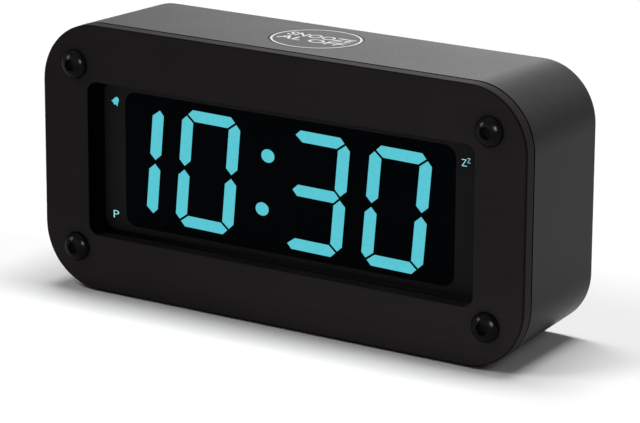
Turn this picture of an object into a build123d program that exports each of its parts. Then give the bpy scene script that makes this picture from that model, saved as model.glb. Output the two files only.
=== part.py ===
# Digital LED desk clock: a brushed bezel on four button-head screws, a rounded case with a
# recessed display, a snooze key on top, and set keys and a battery bay at the back.
# Millimetres. X runs to the right seen from the front, Y to the back and Z up.
# Places inside the case are given as x, depth behind the bezel's face, and rise above the
# middle of the face.
from build123d import *
import math
import os

# Case and bezel
wall = 2.4
corner_radius = 16.4
bezel_thickness = 3.6
bezel_edge_round = 0.6
window_edge_round = 0.25
seam_width = 0.5  # shadow line between bezel and case
seam_depth = 0.7
side_land = 14.3  # bezel beside the window
top_land = 15.0  # bezel above and below the window
window_radius = 3.0
flange_thickness = 1.6  # front wall of the case, behind the bezel
gasket_lap = 0.65  # gasket behind the bezel
ledge_side = 1.5  # gasket that shows inside the window, left and right
ledge_top = 0.8  # and above and below
rim_lip = 0.5  # case rim that stands past the rear cover
rim_round = 0.4
draft_side = 1.45  # how far the case narrows from the bezel to its rear rim, on each side
draft_top = 0.75
draft_floor = 2.0
cover_thickness = 2.0
foot_radius = 4.4
foot_sink = 0.8
foot_proud = 0.5
foot_inset_side = 22.5
foot_inset_depth = 6.5

# Clearances
seat_gap = 0.1
slide_gap = 0.2
door_gap = 0.3

# Bezel screws, their inserts and the corner posts
thread_radius = 2.0
head_radius = 3.9
head_edge = 0.2  # straight part of a head, under its crown
crown_height = 2.2
socket_width = 3.0  # across the flats of the hex socket
socket_depth = 1.4  # below the top of the crown
bezel_screw_length = 10.0
insert_wall = 0.8
insert_length = 7.4
post_radius = 3.9
post_gap = 0.2
screw_inset_side = 10.35  # case side to screw axis

# Small screws
cover_screw_radius = 1.25
cover_screw_length = 9.0
sink_radius = 2.7
sink_depth = 1.5
cross_width = 0.7
cross_length = 2.6
cross_depth = 0.8
board_screw_radius = 1.0
board_screw_head = 1.9
board_screw_head_height = 1.3
board_screw_grip = 4.2  # thread in the post

# Display
mask_thickness = 0.6
mask_lap_side = 1.5  # mask behind the gasket
mask_lap_top = 0.75
border_side = 6.8  # grey border beside the black area
border_top = 1.7
black_radius = 3.3
face_thickness = 1.2
reflector_depth = 4.4
reflector_lap = 0.8
well_share = 0.85  # width of a light well as a share of its segment
chip_size = 1.6
chip_height = 0.8
display_board_thickness = 1.5
display_post_radius = 3.0
display_post_rise = 10.0
board_post_gap = 1.7

# Digits
digit_margin = 2.35  # above and below the digits
digit_end_margin = 7.85
row_shift = -0.1  # the row of digits stands a little to the left
row_drop = 0.24  # and a little low
row_tilt = 0.95  # degrees, down to the right
stroke_width = 3.5
stroke_height = 3.0
corner_cut = 3.1
segment_gap = 0.6  # square to the mitre between two segments
middle_gap = 1.0
tip_rise = 1.6
pair_gap = 5.8
colon_gap = 15.0
colon_shift = 1.2  # the dots stand nearer to the minutes
colon_lift = 0.18
colon_rise = 7.1
colon_slant = 7.0  # degrees
dot_half_width = 2.0
dot_half_height = 1.75
slant = 4.95  # degrees

# Cells, bay and door
cell_radius = 7.25
cell_length = 50.5
nub_radius = 2.7
nub_length = 1.3
cell_floor_gap = 0.15
cell_door_gap = 0.35
cell_side_gap = 0.35
cell_row_gap = 0.8
bay_wall = 1.6
bay_floor = 1.2
bay_rib_width = 2.4
bay_rib_height = 3.0
bay_side_room = 18.15  # bay to the outside of the case
bay_lift = 2.9  # above the front edge of the case floor
bay_clearance = 5.5  # behind the display board
contact_thickness = 0.5
contact_width = 10.0
contact_height = 11.0
leaf_rise = 3.0
leaf_width = 5.0
leaf_thickness = 0.4
dimple_radius = 2.2
dimple_height = 0.8
door_seat = 0.6  # door that rests on the bay wall
door_radius = 2.0
door_pin_radius = 0.6
door_pin_reach = 1.2  # past the door's sides
door_pin_gap = 0.05
grip_width = 16.0
grip_height = 5.0
grip_depth = 0.9
grip_inset = 3.0

# Main board, set keys, alarm slide and buzzer
board_gap = 0.75
main_board_height = 19.3
main_board_thickness = 1.6
main_post_radius = 2.5
main_post_inset = 3.0
key_names = ["time_key", "alarm_key", "hour_key", "minute_key"]  # from the slide outwards
key_radius = 3.8
key_proud = 0.7  # past the case rim
key_edge_round = 0.6
key_flange_lap = 1.1
key_flange_thickness = 1.0
key_stem_radius = 1.6
key_travel = 0.8
key_press_room = 0.5
stem_engagement = 0.4
bore_room = 0.2
key_switch_size = 7.0
key_switch_height = 3.6
key_end_margin = 10.0
key_slide_spacing = 19.0
slide_end_margin = 9.0
slide_width = 4.0
slide_height = 3.6
slide_travel = 4.0
slide_shield_width = 13.5
slide_shield_height = 6.0
slide_shield_thickness = 0.8
slide_switch_height = 7.0
slide_switch_wall = 2.6
slide_groove_depth = 0.5
slide_groove_width = 0.6
buzzer_radius = 11.0
buzzer_height = 6.0
buzzer_side_gap = 2.5
buzzer_board_gap = 4.0
buzzer_bay_gap = 0.25
sound_hole_radius = 0.8
sound_hole_ring = 3.6
sound_hole_count = 6
clock_chip_width = 12.0
clock_chip_height = 8.0
clock_chip_thickness = 1.8
crystal_radius = 1.2
crystal_length = 6.0
capacitor_radius = 3.0
capacitor_length = 6.5

# Snooze key, its switch and its board
snooze_x = -1.3
snooze_half_width = 12.3
snooze_front_land = 4.25  # flange to key
snooze_rear_land = 1.65  # key to rear cover
snooze_gap = 0.12  # round the key
snooze_edge_round = 0.15
snooze_flange_lap = 1.2
snooze_flange_thickness = 1.8  # at most, because the case's slope thins it
snooze_stem_radius = 2.4
snooze_travel = 0.8
snooze_press_room = 1.2
snooze_switch_size = 7.0
snooze_switch_height = 3.6
snooze_board_thickness = 1.4
snooze_board_depth = 7.0
snooze_post_radius = 2.4
snooze_post_gap = 0.7
snooze_board_margin = 3.0

# Leads and ribbon
lead_radius = 0.7
lead_bend = 1.5
lead_pitch = 3.0
ribbon_width = 12.0
ribbon_thickness = 0.4
ribbon_bow = 2.5
ribbon_socket_width = 14.0
ribbon_socket_height = 4.0
ribbon_socket_depth = 2.2

# Depths, from the bezel's face to the rear rim
flange_back = bezel_thickness + flange_thickness
mask_back = flange_back + mask_thickness
face_back = mask_back + face_thickness
reflector_back = face_back + reflector_depth
display_board_back = reflector_back + display_board_thickness
bay_front = display_board_back + bay_clearance
bay_floor_back = bay_front + bay_floor
cell_depth = bay_floor_back + cell_floor_gap + cell_radius
cover_front = cell_depth + cell_radius + cell_door_gap
cover_back = cover_front + cover_thickness
case_depth = cover_back + rim_lip
key_flange_back = cover_front - seat_gap
key_flange_front = key_flange_back - key_flange_thickness
switch_back = key_flange_front - key_travel - key_press_room
switch_front = switch_back - key_switch_height
main_board_front = switch_front - main_board_thickness
key_back = case_depth + key_proud
head_height = head_edge + crown_height
head_reach = head_edge + crown_height * math.sqrt(1 - (socket_width / 2 / head_radius) ** 2)
face_y = (head_reach - key_back) / 2  # the bezel's face, so that Y = 0 is halfway

# Widths
bay_inner_length = 2 * cell_length + leaf_rise + dimple_height + 2 * contact_thickness
bay_length = bay_inner_length + 2 * bay_wall
case_width = bay_length + 2 * bay_side_room
window_width = case_width - 2 * side_land
opening_width = window_width - 2 * ledge_side
black_width = opening_width - 2 * border_side
mask_width = opening_width + 2 * mask_lap_side
inner_width = case_width - 2 * wall
screw_x = case_width / 2 - screw_inset_side
display_post_x = (mask_width + inner_width) / 4
digit_width = (black_width - 2 * digit_end_margin - stroke_width - 2 * pair_gap - colon_gap) / 3
post_side = screw_x - post_radius
buzzer_x = -post_side + buzzer_side_gap + buzzer_radius
main_board_left = buzzer_x + buzzer_radius + buzzer_board_gap
main_board_right = post_side - buzzer_side_gap
slide_x = main_board_left + slide_end_margin
first_key_x = slide_x + key_slide_spacing
last_key_x = main_board_right - key_end_margin
key_pitch = (last_key_x - first_key_x) / (len(key_names) - 1)

# Rises, from the middle of the face
row_pitch = 2 * cell_radius + cell_row_gap
bay_inner_height = row_pitch + 2 * cell_radius + 2 * cell_side_gap
bay_height = bay_inner_height + 2 * bay_wall
snooze_stack = (
    snooze_board_thickness
    + snooze_switch_height
    + snooze_travel
    + snooze_press_room
    + snooze_flange_thickness
    + seat_gap
)
case_height = 2 * wall + bay_lift + bay_height + 2 * board_gap + main_board_height + snooze_stack
window_height = case_height - 2 * top_land
opening_height = window_height - 2 * ledge_top
black_height = opening_height - 2 * border_top
mask_height = opening_height + 2 * mask_lap_top
inner_height = case_height - 2 * wall
screw_rise = mask_height / 2 + post_gap + post_radius
display_board_height = 2 * (screw_rise - post_radius - board_post_gap)
digit_height = black_height - 2 * digit_margin
bay_low = -inner_height / 2 + bay_lift
bay_middle = bay_low + bay_height / 2
bay_high = bay_low + bay_height
row_rises = [bay_middle - row_pitch / 2, bay_middle + row_pitch / 2]
main_board_low = bay_high + board_gap
main_board_high = main_board_low + main_board_height
key_rise = (main_board_low + main_board_high) / 2
buzzer_rise = bay_high + buzzer_bay_gap + buzzer_radius
snooze_board_low = main_board_high + board_gap
snooze_board_high = snooze_board_low + snooze_board_thickness
snooze_switch_high = snooze_board_high + snooze_switch_height
snooze_flange_low = snooze_switch_high + snooze_travel + snooze_press_room
case_top = case_height / 2
mid_z = foot_proud + case_height / 2

# Snooze key in plan
snooze_front = flange_back + snooze_front_land
snooze_back = cover_front - snooze_rear_land
snooze_depth = (snooze_front + snooze_back) / 2
snooze_half_depth = (snooze_back - snooze_front) / 2
snooze_post_reach = snooze_half_width + snooze_gap + snooze_flange_lap + snooze_post_gap + snooze_post_radius
snooze_posts = [snooze_x - snooze_post_reach, snooze_x + snooze_post_reach]

# Battery door
door_width = bay_inner_length + 2 * door_seat
door_height = bay_inner_height + 2 * door_seat
door_low = bay_middle - door_height / 2
door_front = cover_front + seat_gap
hinge_radius = (cover_back - door_front) / 2
hinge_depth = (cover_back + door_front) / 2
hinge_rise = door_low + hinge_radius

corners = [(sx * screw_x, sz * screw_rise) for sx in (-1, 1) for sz in (-1, 1)]
display_posts = [(sx * display_post_x, sz * display_post_rise) for sx in (-1, 1) for sz in (-1, 1)]
main_posts = [
    (x, rise)
    for x in (main_board_left + main_post_inset, main_board_right - main_post_inset)
    for rise in (main_board_low + main_post_inset, main_board_high - main_post_inset)
]
key_places = [first_key_x + i * key_pitch for i in range(len(key_names))]

# Leads: where they leave the bay, and the rise at which they cross to the main board
black_lead_depth = main_board_front - lead_bend - 2 * lead_radius
lead_hole_depths = [black_lead_depth, black_lead_depth + lead_pitch]
lead_rise = main_board_low + main_post_inset + board_screw_head + lead_pitch / 2


def place(x, depth, rise):
    return Pos(x, face_y + depth, mid_z + rise)


def upright(depth):
    return Plane(origin=(0, face_y + depth, mid_z), x_dir=(1, 0, 0), z_dir=(0, -1, 0))


def slab(outline, near, far):
    # an outline in x and rise, from one depth to another
    return extrude(upright(far) * outline, far - near)


def pillar(outline, low, high):
    # an outline in x and depth, from one rise to another
    plane = Plane(origin=(0, face_y, mid_z + low))
    return extrude(plane * outline, high - low)


def block(left, right, near, far, low, high):
    middle = place((left + right) / 2, (near + far) / 2, (low + high) / 2)
    return middle * Box(right - left, far - near, high - low)


def rod(x, rise, radius, near, far):
    return slab(Pos(x, rise) * Circle(radius), near, far)


def along_x(radius, start, end, rise, depth):
    # a round bar from one x to another
    plane = Plane(origin=(start, face_y + depth, mid_z + rise), z_dir=(1, 0, 0))
    return extrude(plane * Circle(radius), end - start)


def turned(outline, x, rise):
    # an outline in radius and depth, turned about a line from front to back
    return place(x, 0, rise) * revolve(outline, Axis.Y)


def outline_of(points):
    return make_face(Polyline(*points, close=True))


def group(solids):
    return Compound(children=list(solids))


# Bezel and case
def case_outline(inset):
    return RectangleRounded(case_width - 2 * inset, case_height - 2 * inset, corner_radius - inset)


def draft_share(depth):
    # from 0 at the bezel to 1 at the rear rim
    return (depth - bezel_thickness) / (case_depth - bezel_thickness)


def case_section(depth, inset):
    # the case narrows towards the back, most of all at its floor
    share = draft_share(depth)
    half_width = case_width / 2 - share * draft_side - inset
    top = case_top - share * draft_top - inset
    low = share * draft_floor + inset - case_top
    radius = corner_radius - share * draft_side - inset
    return Pos(0, (top + low) / 2) * RectangleRounded(2 * half_width, top - low, radius)


def case_body(near, far, inset):
    return loft([upright(depth) * case_section(depth, inset) for depth in (near, far)], ruled=True)


def window_outline():
    return RectangleRounded(window_width, window_height, window_radius)


def gasket_outline(grow):
    lap = gasket_lap + grow
    return RectangleRounded(window_width + 2 * lap, window_height + 2 * lap, window_radius + lap)


def opening_outline():
    return RectangleRounded(opening_width, opening_height, window_radius)


def make_front_bezel():
    plate = slab(case_outline(0), 0, bezel_thickness)
    rim = plate.faces().sort_by(Axis.Y)[0].edges()
    plate = fillet(rim, bezel_edge_round)
    plate -= slab(window_outline(), 0, bezel_thickness)
    window_edges = plate.faces().sort_by(Axis.Y)[0].inner_wires()[0].edges()
    plate = fillet(window_edges, window_edge_round)
    for x, rise in corners:
        plate -= rod(x, rise, thread_radius + slide_gap, 0, bezel_thickness)
    return plate


def button_screw(x, rise):
    crown = EllipticalCenterArc((0, -head_edge), head_radius, crown_height, 270, arc_size=90)
    shank = Polyline(
        (head_radius, -head_edge),
        (head_radius, 0),
        (thread_radius, 0),
        (thread_radius, bezel_screw_length),
        (0, bezel_screw_length),
        (0, -head_height),
    )
    screw = turned(make_face(Curve() + [crown, shank]), x, rise)
    hexagon = Pos(x, rise) * RegularPolygon(socket_width / math.sqrt(3), 6)
    return screw - slab(hexagon, -head_height, socket_depth - head_height)


def make_bezel_screws():
    return group(button_screw(x, rise) for x, rise in corners)


def make_bezel_inserts():
    outer = thread_radius + insert_wall
    back = bezel_thickness + insert_length
    inserts = []
    for x, rise in corners:
        tube = rod(x, rise, outer, bezel_thickness, back)
        inserts.append(tube - rod(x, rise, thread_radius, bezel_thickness, back))
    return group(inserts)


def snooze_oval(grow):
    return Pos(snooze_x, snooze_depth) * Ellipse(snooze_half_width + grow, snooze_half_depth + grow)


def foot_places():
    x = case_width / 2 - foot_inset_side
    near = bezel_thickness + foot_inset_depth
    far = case_depth - foot_inset_depth
    return [(sx * x, depth) for sx in (-1, 1) for depth in (near, far)]


def pocket_rise(depth):
    # the top of a foot's pocket, sunk into the sloping floor
    return draft_share(depth) * draft_floor + foot_sink - case_top


def make_case_shell():
    shell = case_body(bezel_thickness, case_depth, 0)
    shell = fillet(shell.faces().sort_by(Axis.Y)[-1].edges(), rim_round)
    shell -= case_body(flange_back, case_depth, wall)
    groove = slab(case_outline(0), bezel_thickness, bezel_thickness + seam_width)
    shell -= groove - slab(case_outline(seam_depth), bezel_thickness, bezel_thickness + seam_width)
    shell -= slab(gasket_outline(seat_gap), bezel_thickness, flange_back)
    for x, rise in corners:
        shell += rod(x, rise, post_radius, flange_back, cover_front)
    for x, rise in display_posts:
        shell += rod(x, rise, display_post_radius, flange_back, reflector_back)
    for x in snooze_posts:
        boss = Pos(x, snooze_depth) * Circle(snooze_post_radius)
        shell += pillar(boss, snooze_board_high, case_top - wall)
    for x, rise in corners:
        insert_bore = thread_radius + insert_wall
        shell -= rod(x, rise, insert_bore, bezel_thickness, bezel_thickness + bezel_screw_length)
        shell -= rod(x, rise, cover_screw_radius, cover_back - cover_screw_length, cover_front)
    for x, rise in display_posts:
        shell -= rod(x, rise, board_screw_radius, reflector_back - board_screw_grip, reflector_back)
    for x in snooze_posts:
        pilot = Pos(x, snooze_depth) * Circle(board_screw_radius)
        shell -= pillar(pilot, snooze_board_high, snooze_board_high + board_screw_grip)
    shell -= pillar(snooze_oval(snooze_gap), snooze_flange_low, case_top)
    for x, depth in foot_places():
        pocket = Pos(x, depth) * Circle(foot_radius + seat_gap)
        shell -= pillar(pocket, -case_top, pocket_rise(depth))
    return shell


def make_rubber_feet():
    feet = []
    for x, depth in foot_places():
        disc = Pos(x, depth) * Circle(foot_radius)
        feet.append(pillar(disc, -case_top - foot_proud, pocket_rise(depth)))
    return group(feet)


def make_window_gasket():
    # a foam ring between the bezel and the display mask
    ring = slab(gasket_outline(0), bezel_thickness, flange_back)
    return ring - slab(opening_outline(), bezel_thickness, flange_back)


# Display
def mask_outline():
    radius = window_radius + mask_lap_side
    return RectangleRounded(mask_width, mask_height, radius)


def black_outline():
    return RectangleRounded(black_width, black_height, black_radius)


def make_display_mask():
    plate = slab(mask_outline(), flange_back, mask_back)
    return plate - slab(black_outline(), flange_back, mask_back)


def segment_points():
    # the seven segments of an upright digit about its middle, as points in x and rise
    side = digit_width / 2
    top = digit_height / 2
    half_cut = corner_cut / 2
    tip_shift = segment_gap / math.sqrt(8)
    end_shift = segment_gap / math.sqrt(2)
    inner = side - stroke_width
    tip = middle_gap / 2
    bar_tip = side - stroke_width / 2 + tip - segment_gap * math.sqrt(2)
    bar_side = bar_tip - stroke_height / 2
    upper = [
        (corner_cut - side, top),
        (side - corner_cut, top),
        (side - half_cut - tip_shift, top - half_cut + tip_shift),
        (inner - end_shift, top - stroke_height),
        (end_shift - inner, top - stroke_height),
        (half_cut + tip_shift - side, top - half_cut + tip_shift),
    ]
    right = [
        (side, top - corner_cut),
        (side - half_cut + tip_shift, top - half_cut - tip_shift),
        (inner, top - stroke_height - end_shift),
        (inner, tip + tip_rise),
        (side - stroke_width / 2, tip),
        (side, tip + tip_rise),
    ]
    bar = [
        (-bar_tip, 0),
        (-bar_side, stroke_height / 2),
        (bar_side, stroke_height / 2),
        (bar_tip, 0),
        (bar_side, -stroke_height / 2),
        (-bar_side, -stroke_height / 2),
    ]
    return {
        "a": upper,
        "b": right,
        "c": [(x, -z) for x, z in right],
        "d": [(x, -z) for x, z in upper],
        "e": [(-x, -z) for x, z in right],
        "f": [(-x, z) for x, z in right],
        "g": bar,
    }


def lean(x, rise):
    # a place in an upright, level row, moved to where it lies on the slanted digits and the tilted row
    sideways = rise * math.tan(math.radians(slant))
    downwards = row_drop + x * math.tan(math.radians(row_tilt))
    return (x + sideways, rise - downwards)


def digit_middles():
    # from the left: the bare one of the tens of hours, then three whole digits
    left = digit_end_margin + row_shift - black_width / 2
    hour_units = left + stroke_width + pair_gap + digit_width / 2
    hour_tens = left + stroke_width - digit_width / 2
    minute_tens = hour_units + digit_width + colon_gap
    minute_units = minute_tens + digit_width + pair_gap
    return [hour_tens, hour_units, minute_tens, minute_units]


def segments(digit, letters):
    middle = digit_middles()[digit]
    points = segment_points()
    return [[lean(middle + x, rise) for x, rise in points[letter]] for letter in letters]


def colon_places():
    middle = digit_middles()[1] + digit_width / 2 + colon_gap / 2 + colon_shift
    sideways = colon_rise * math.tan(math.radians(colon_slant))
    return [(middle + way * sideways, colon_lift + way * colon_rise) for way in (-1, 1)]


def dots(share, near, far):
    oval = Ellipse(share * dot_half_width, share * dot_half_height)
    return [slab(Pos(x, rise) * oval, near, far) for x, rise in colon_places()]


lit = [segments(0, "bc"), segments(1, "abcdef"), segments(2, "abcdg"), segments(3, "abcdef")]
unlit = segments(1, "g") + segments(2, "ef") + segments(3, "g")
all_segments = lit[0] + lit[1] + lit[2] + lit[3] + unlit


def make_display_face():
    face = slab(black_outline(), flange_back, mask_back) + slab(mask_outline(), mask_back, face_back)
    for points in all_segments:
        face -= slab(outline_of(points), flange_back, face_back)
    for dot in dots(1, flange_back, face_back):
        face -= dot
    return face


def make_segments(list_of_points):
    return group(slab(outline_of(points), flange_back, face_back) for points in list_of_points)


def make_colon_dots():
    return group(dots(1, flange_back, face_back))


def middle_of(points):
    return (sum(x for x, z in points) / len(points), sum(z for x, z in points) / len(points))


def well_outline(points):
    x_mid, z_mid = middle_of(points)
    return outline_of(
        [(x_mid + well_share * (x - x_mid), z_mid + well_share * (z - z_mid)) for x, z in points]
    )


def make_led_reflector():
    size = (black_width + 2 * reflector_lap, black_height + 2 * reflector_lap)
    reflector = slab(Rectangle(*size), face_back, reflector_back)
    for points in all_segments:
        reflector -= slab(well_outline(points), face_back, reflector_back)
    for well in dots(well_share, face_back, reflector_back):
        reflector -= well
    return reflector


def make_led_chips():
    spots = [middle_of(points) for points in all_segments] + colon_places()
    half = chip_size / 2
    near = reflector_back - chip_height
    return group(
        block(x - half, x + half, near, reflector_back, rise - half, rise + half) for x, rise in spots
    )


def make_display_board():
    half_width = display_post_x + display_post_radius
    board = slab(Rectangle(2 * half_width, display_board_height), reflector_back, display_board_back)
    for x, rise in display_posts:
        board -= rod(x, rise, board_screw_radius + slide_gap, reflector_back, display_board_back)
    return board


# Screws that go into plastic posts
def pan_screw(x, rise, seat, way, length):
    head = seat - way * board_screw_head_height
    tip = seat + way * length
    points = [
        (0, head),
        (board_screw_head, head),
        (board_screw_head, seat),
        (board_screw_radius, seat),
        (board_screw_radius, tip),
        (0, tip),
    ]
    return turned(outline_of(points), x, rise)


def make_display_screws():
    length = display_board_thickness + board_screw_grip
    return group(pan_screw(x, rise, display_board_back, -1, length) for x, rise in display_posts)


def make_main_board_screws():
    length = main_board_thickness + board_screw_grip
    return group(pan_screw(x, rise, main_board_front, 1, length) for x, rise in main_posts)


def make_snooze_screws():
    screws = []
    for x in snooze_posts:
        spot = Pos(x, snooze_depth)
        head_low = snooze_board_low - board_screw_head_height
        screw = pillar(spot * Circle(board_screw_head), head_low, snooze_board_low)
        tip = snooze_board_high + board_screw_grip
        screws.append(screw + pillar(spot * Circle(board_screw_radius), snooze_board_low, tip))
    return group(screws)


def sunk_outline(gap):
    shank = cover_screw_radius + gap
    return outline_of(
        [
            (0, cover_back),
            (sink_radius, cover_back),
            (shank, cover_back - sink_depth),
            (shank, cover_back - cover_screw_length),
            (0, cover_back - cover_screw_length),
        ]
    )


def make_rear_cover_screws():
    screws = []
    for x, rise in corners:
        screw = turned(sunk_outline(0), x, rise)
        for size in ((cross_length, cross_width), (cross_width, cross_length)):
            slot = Pos(x, rise) * Rectangle(*size)
            screw -= slab(slot, cover_back - cross_depth, cover_back)
        screws.append(screw)
    return group(screws)


# Rear cover, battery bay and door
def door_outline(grow):
    # rounded at the top and square at the hinge
    width = door_width + 2 * grow
    height = door_height + 2 * grow
    outline = RectangleRounded(width, height, door_radius + grow)
    outline += Pos(0, -height / 4) * Rectangle(width, height / 2)
    return Pos(0, bay_middle) * outline


def make_rear_cover():
    cover = slab(case_section(cover_back, wall + seat_gap), cover_front, cover_back)
    for x, rise in main_posts:
        cover += rod(x, rise, main_post_radius, switch_front, cover_front)
    for x, rise in main_posts:
        cover -= rod(x, rise, board_screw_radius, switch_front, switch_front + board_screw_grip)
    for x, rise in corners:
        cover -= turned(sunk_outline(slide_gap), x, rise)
    for x in key_places:
        cover -= rod(x, key_rise, key_radius + slide_gap, cover_front, cover_back)
    slot = (slide_width + slide_travel + 2 * slide_gap, slide_height + 2 * slide_gap)
    slot_middle = Pos(slide_x + slide_travel / 2, key_rise)
    cover -= slab(slot_middle * Rectangle(*slot), cover_front, cover_back)
    ring = PolarLocations(sound_hole_ring, sound_hole_count)
    sound_holes = Sketch() + [spot * Circle(sound_hole_radius) for spot in ring]
    sound_holes += Circle(sound_hole_radius)
    cover -= slab(Pos(buzzer_x, buzzer_rise) * sound_holes, cover_front, cover_back)
    cover -= slab(door_outline(door_gap), cover_front, cover_back)
    pin_end = door_width / 2 + door_pin_reach + seat_gap
    return cover - along_x(door_pin_radius + door_pin_gap, -pin_end, pin_end, hinge_rise, hinge_depth)


def make_battery_bay():
    half = bay_length / 2
    inner = bay_inner_length / 2
    bay = block(-half, half, bay_front, cover_front, bay_low, bay_high)
    bay -= block(-inner, inner, bay_floor_back, cover_front, bay_low + bay_wall, bay_high - bay_wall)
    rib = bay_rib_width / 2
    bay += block(
        -inner, inner, bay_front, bay_floor_back + bay_rib_height, bay_middle - rib, bay_middle + rib
    )
    for rise, depth in zip(row_rises, lead_hole_depths):
        bay -= along_x(lead_radius, -half, -inner, rise, depth)
    return bay


def make_battery_door():
    # the lower edge is a round barrel, with a pin at each end
    half = door_width / 2
    pin_end = half + door_pin_reach
    door = slab(door_outline(0), door_front, cover_back)
    door -= block(-half, half, door_front, cover_back, door_low, hinge_rise)
    door += along_x(hinge_radius, -half, half, hinge_rise, hinge_depth)
    door += along_x(door_pin_radius, -pin_end, pin_end, hinge_rise, hinge_depth)
    grip_rise = door_low + door_height - grip_inset - grip_height / 2
    scoop = SlotOverall(grip_width, grip_height)
    return door - slab(Pos(0, grip_rise) * scoop, cover_back - grip_depth, cover_back)


# Cells and contacts: the lower row runs to the right, the upper row to the left
row_ways = [1, -1]
row_start = bay_inner_length / 2 - contact_thickness - leaf_rise


def make_cell(row, number):
    way = row_ways[row]
    base = way * (number * cell_length - row_start)
    shoulder = base + way * (cell_length - nub_length)
    tip = base + way * cell_length
    body = along_x(cell_radius, min(base, shoulder), max(base, shoulder), row_rises[row], cell_depth)
    nub = along_x(nub_radius, min(shoulder, tip), max(shoulder, tip), row_rises[row], cell_depth)
    return body + nub


def contact_plate(side, low, high):
    outer = bay_inner_length / 2
    inner = outer - contact_thickness
    near = cell_depth - contact_width / 2
    far = cell_depth + contact_width / 2
    if side < 0:
        return block(-outer, -inner, near, far, low, high)
    return block(inner, outer, near, far, low, high)


def leaf_spring(side, rise):
    # a bowed strip from the contact plate to the base of the cell
    foot_x = bay_inner_length / 2 - contact_thickness
    half = contact_width / 2
    crown = foot_x - leaf_rise
    outer = ThreePointArc(
        (side * foot_x, cell_depth - half),
        (side * crown, cell_depth),
        (side * foot_x, cell_depth + half),
    )
    inner = ThreePointArc(
        (side * foot_x, cell_depth + half - leaf_thickness),
        (side * (crown + leaf_thickness), cell_depth),
        (side * foot_x, cell_depth - half + leaf_thickness),
    )
    feet = [
        Line((side * foot_x, cell_depth + half), (side * foot_x, cell_depth + half - leaf_thickness)),
        Line((side * foot_x, cell_depth - half + leaf_thickness), (side * foot_x, cell_depth - half)),
    ]
    strip = make_face(Curve() + [outer, feet[0], inner, feet[1]])
    return pillar(strip, rise - leaf_width / 2, rise + leaf_width / 2)


def dimple(side, rise):
    foot_x = bay_inner_length / 2 - contact_thickness
    ends = sorted((side * foot_x, side * (foot_x - dimple_height)))
    return along_x(dimple_radius, ends[0], ends[1], rise, cell_depth)


def make_negative_contact():
    low_row = row_rises[0]
    plate = contact_plate(-1, low_row - contact_height / 2, low_row + contact_height / 2)
    return plate + leaf_spring(-1, low_row)


def make_positive_contact():
    high_row = row_rises[1]
    plate = contact_plate(-1, high_row - contact_height / 2, high_row + contact_height / 2)
    return plate + dimple(-1, high_row)


def make_link_contact():
    plate = contact_plate(1, row_rises[0] - contact_height / 2, row_rises[1] + contact_height / 2)
    rib = bay_rib_width / 2 + seat_gap
    rib_back = bay_floor_back + bay_rib_height + seat_gap
    outer = bay_inner_length / 2
    notch = block(
        outer - contact_thickness, outer, bay_front, rib_back, bay_middle - rib, bay_middle + rib
    )
    return plate - notch + leaf_spring(1, row_rises[1]) + dimple(1, row_rises[0])


# Main board and what stands on it
def make_main_board():
    board = block(
        main_board_left, main_board_right, main_board_front, switch_front, main_board_low, main_board_high
    )
    for x, rise in main_posts:
        board -= rod(x, rise, board_screw_radius + slide_gap, main_board_front, switch_front)
    return board


def make_key(x):
    key = rod(x, key_rise, key_radius, key_flange_back, key_back)
    key = fillet(key.faces().sort_by(Axis.Y)[-1].edges(), key_edge_round)
    key += rod(x, key_rise, key_radius + key_flange_lap, key_flange_front, key_flange_back)
    key += rod(x, key_rise, key_stem_radius, switch_back - stem_engagement, key_flange_front)
    return key


def make_key_switches():
    half = key_switch_size / 2
    bore_front = switch_back - stem_engagement - key_travel - bore_room
    switches = []
    for x in key_places:
        body = block(x - half, x + half, switch_front, switch_back, key_rise - half, key_rise + half)
        switches.append(body - rod(x, key_rise, key_stem_radius + slide_gap, bore_front, switch_back))
    return group(switches)


def make_alarm_slide():
    half = slide_width / 2
    tall = slide_height / 2
    knob = block(
        slide_x - half,
        slide_x + half,
        switch_back - stem_engagement,
        key_back,
        key_rise - tall,
        key_rise + tall,
    )
    shield_back = key_flange_back
    shield_front = shield_back - slide_shield_thickness
    knob += block(
        slide_x - slide_shield_width / 2,
        slide_x + slide_shield_width / 2,
        shield_front,
        shield_back,
        key_rise - slide_shield_height / 2,
        key_rise + slide_shield_height / 2,
    )
    for x in (slide_x - half / 2, slide_x + half / 2):
        groove = slide_groove_width / 2
        knob -= block(
            x - groove,
            x + groove,
            key_back - slide_groove_depth,
            key_back,
            key_rise - tall,
            key_rise + tall,
        )
    return knob


def make_slide_switch():
    slot_left = slide_x - slide_width / 2 - slide_gap
    slot_right = slide_x + slide_width / 2 + slide_travel + slide_gap
    tall = slide_switch_height / 2
    slot_tall = slide_height / 2 + slide_gap
    body = block(
        slot_left - slide_switch_wall,
        slot_right + slide_switch_wall,
        switch_front,
        switch_back,
        key_rise - tall,
        key_rise + tall,
    )
    slot_front = switch_back - stem_engagement - bore_room
    return body - block(
        slot_left, slot_right, slot_front, switch_back, key_rise - slot_tall, key_rise + slot_tall
    )


def make_buzzer():
    front = cover_front - buzzer_height
    can = rod(buzzer_x, buzzer_rise, buzzer_radius, front, cover_front)
    throat = sound_hole_ring + sound_hole_radius
    return can - rod(buzzer_x, buzzer_rise, throat, (front + cover_front) / 2, cover_front)


def make_clock_chip():
    x = (key_places[0] + key_places[1]) / 2
    return block(
        x - clock_chip_width / 2,
        x + clock_chip_width / 2,
        main_board_front - clock_chip_thickness,
        main_board_front,
        key_rise - clock_chip_height / 2,
        key_rise + clock_chip_height / 2,
    )


def make_crystal():
    x = (slide_x + first_key_x) / 2
    depth = main_board_front - crystal_radius
    return along_x(crystal_radius, x - crystal_length / 2, x + crystal_length / 2, key_rise, depth)


def make_capacitor():
    x = key_places[2]
    return rod(x, key_rise, capacitor_radius, main_board_front - capacitor_length, main_board_front)


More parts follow.
